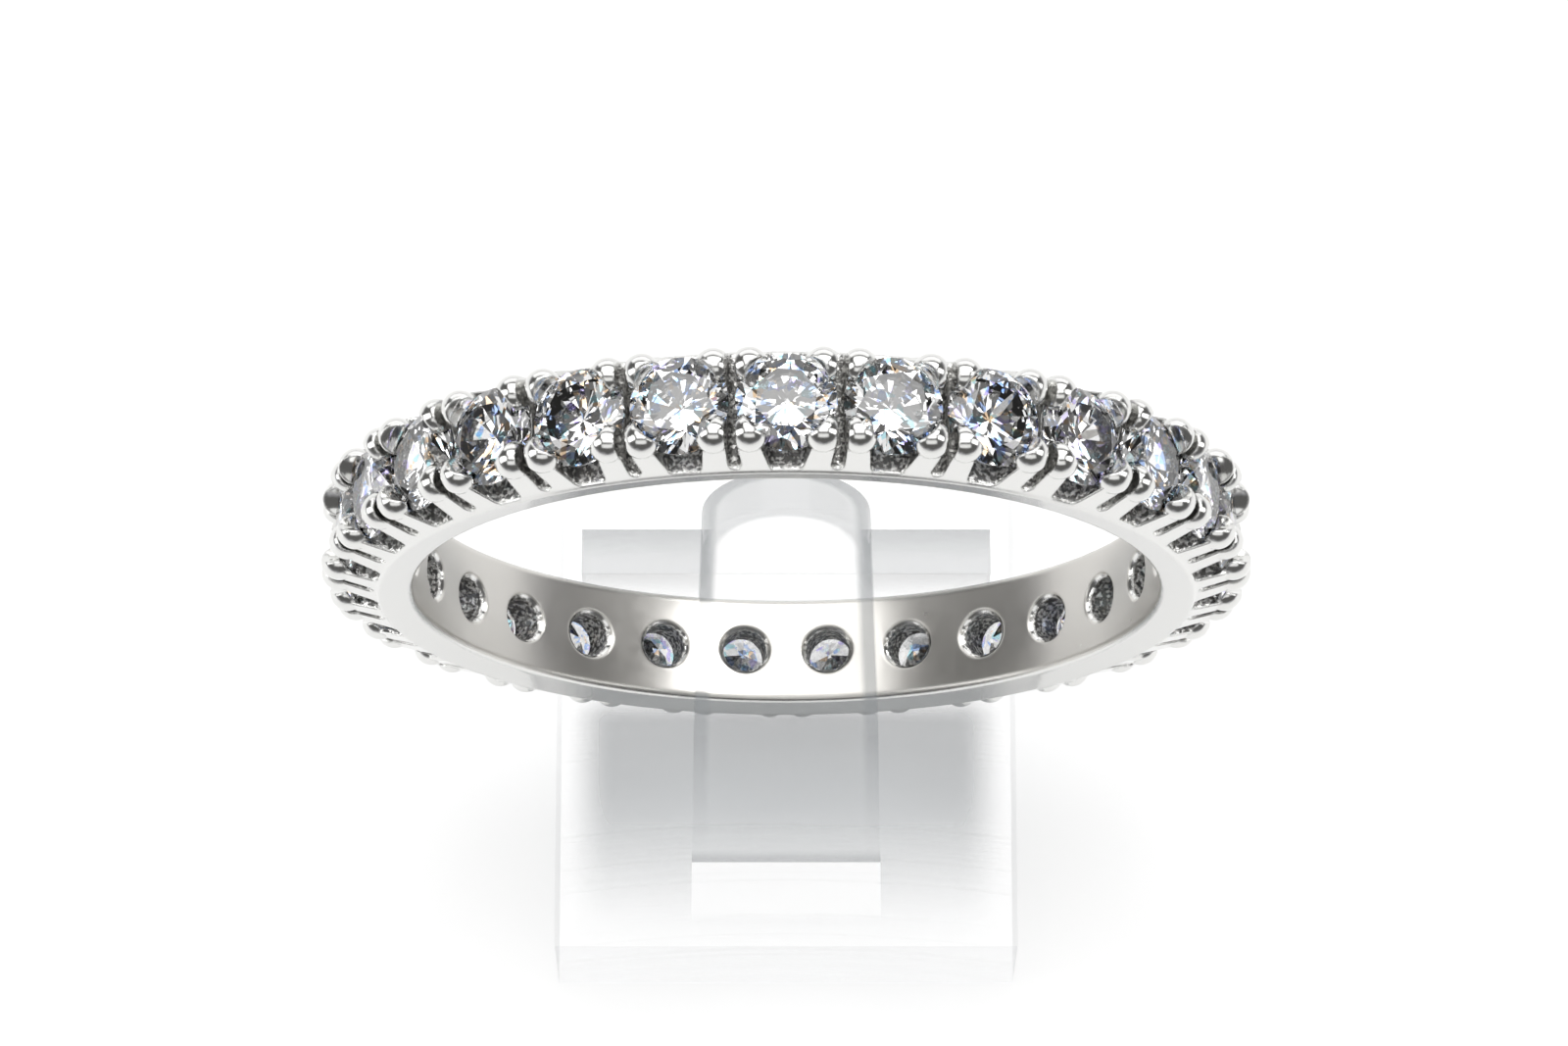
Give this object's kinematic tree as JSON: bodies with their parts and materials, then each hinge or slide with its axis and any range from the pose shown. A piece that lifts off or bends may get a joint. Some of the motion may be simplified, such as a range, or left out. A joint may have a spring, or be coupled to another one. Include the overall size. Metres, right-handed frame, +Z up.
{
  "type": "eternity ring on a clip stand",
  "caption": "Eternity ring with a full row of round brilliants in shared prongs, held upright by a clear plastic clip stand.",
  "frame": {"origin": "middle of the clip's underside, which is also the bottom centre of the whole part", "axes": "+Z up, the finger hole runs along Y, and the clip's tongue is on the -Y side at its foot"},
  "size_m": [0.0212, 0.0134, 0.0253],
  "materials": {
    "white_gold": "polished",
    "brilliant": "polished",
    "clear_plastic": "clear gloss"
  },
  "bodies": {
    "root": {"band": "white_gold", "clip_stand": "clear_plastic", "stone_01": "brilliant", "stone_02": "brilliant", "stone_03": "brilliant", "stone_04": "brilliant", "stone_05": "brilliant", "stone_06": "brilliant", "stone_07": "brilliant", "stone_08": "brilliant", "stone_09": "brilliant", "stone_10": "brilliant", "stone_11": "brilliant", "stone_12": "brilliant", "stone_13": "brilliant", "stone_14": "brilliant", "stone_15": "brilliant", "stone_16": "brilliant", "stone_17": "brilliant", "stone_18": "brilliant", "stone_19": "brilliant", "stone_20": "brilliant", "stone_21": "brilliant", "stone_22": "brilliant", "stone_23": "brilliant", "stone_24": "brilliant", "stone_25": "brilliant", "stone_26": "brilliant", "stone_27": "brilliant"}
  },
  "joints": []
}
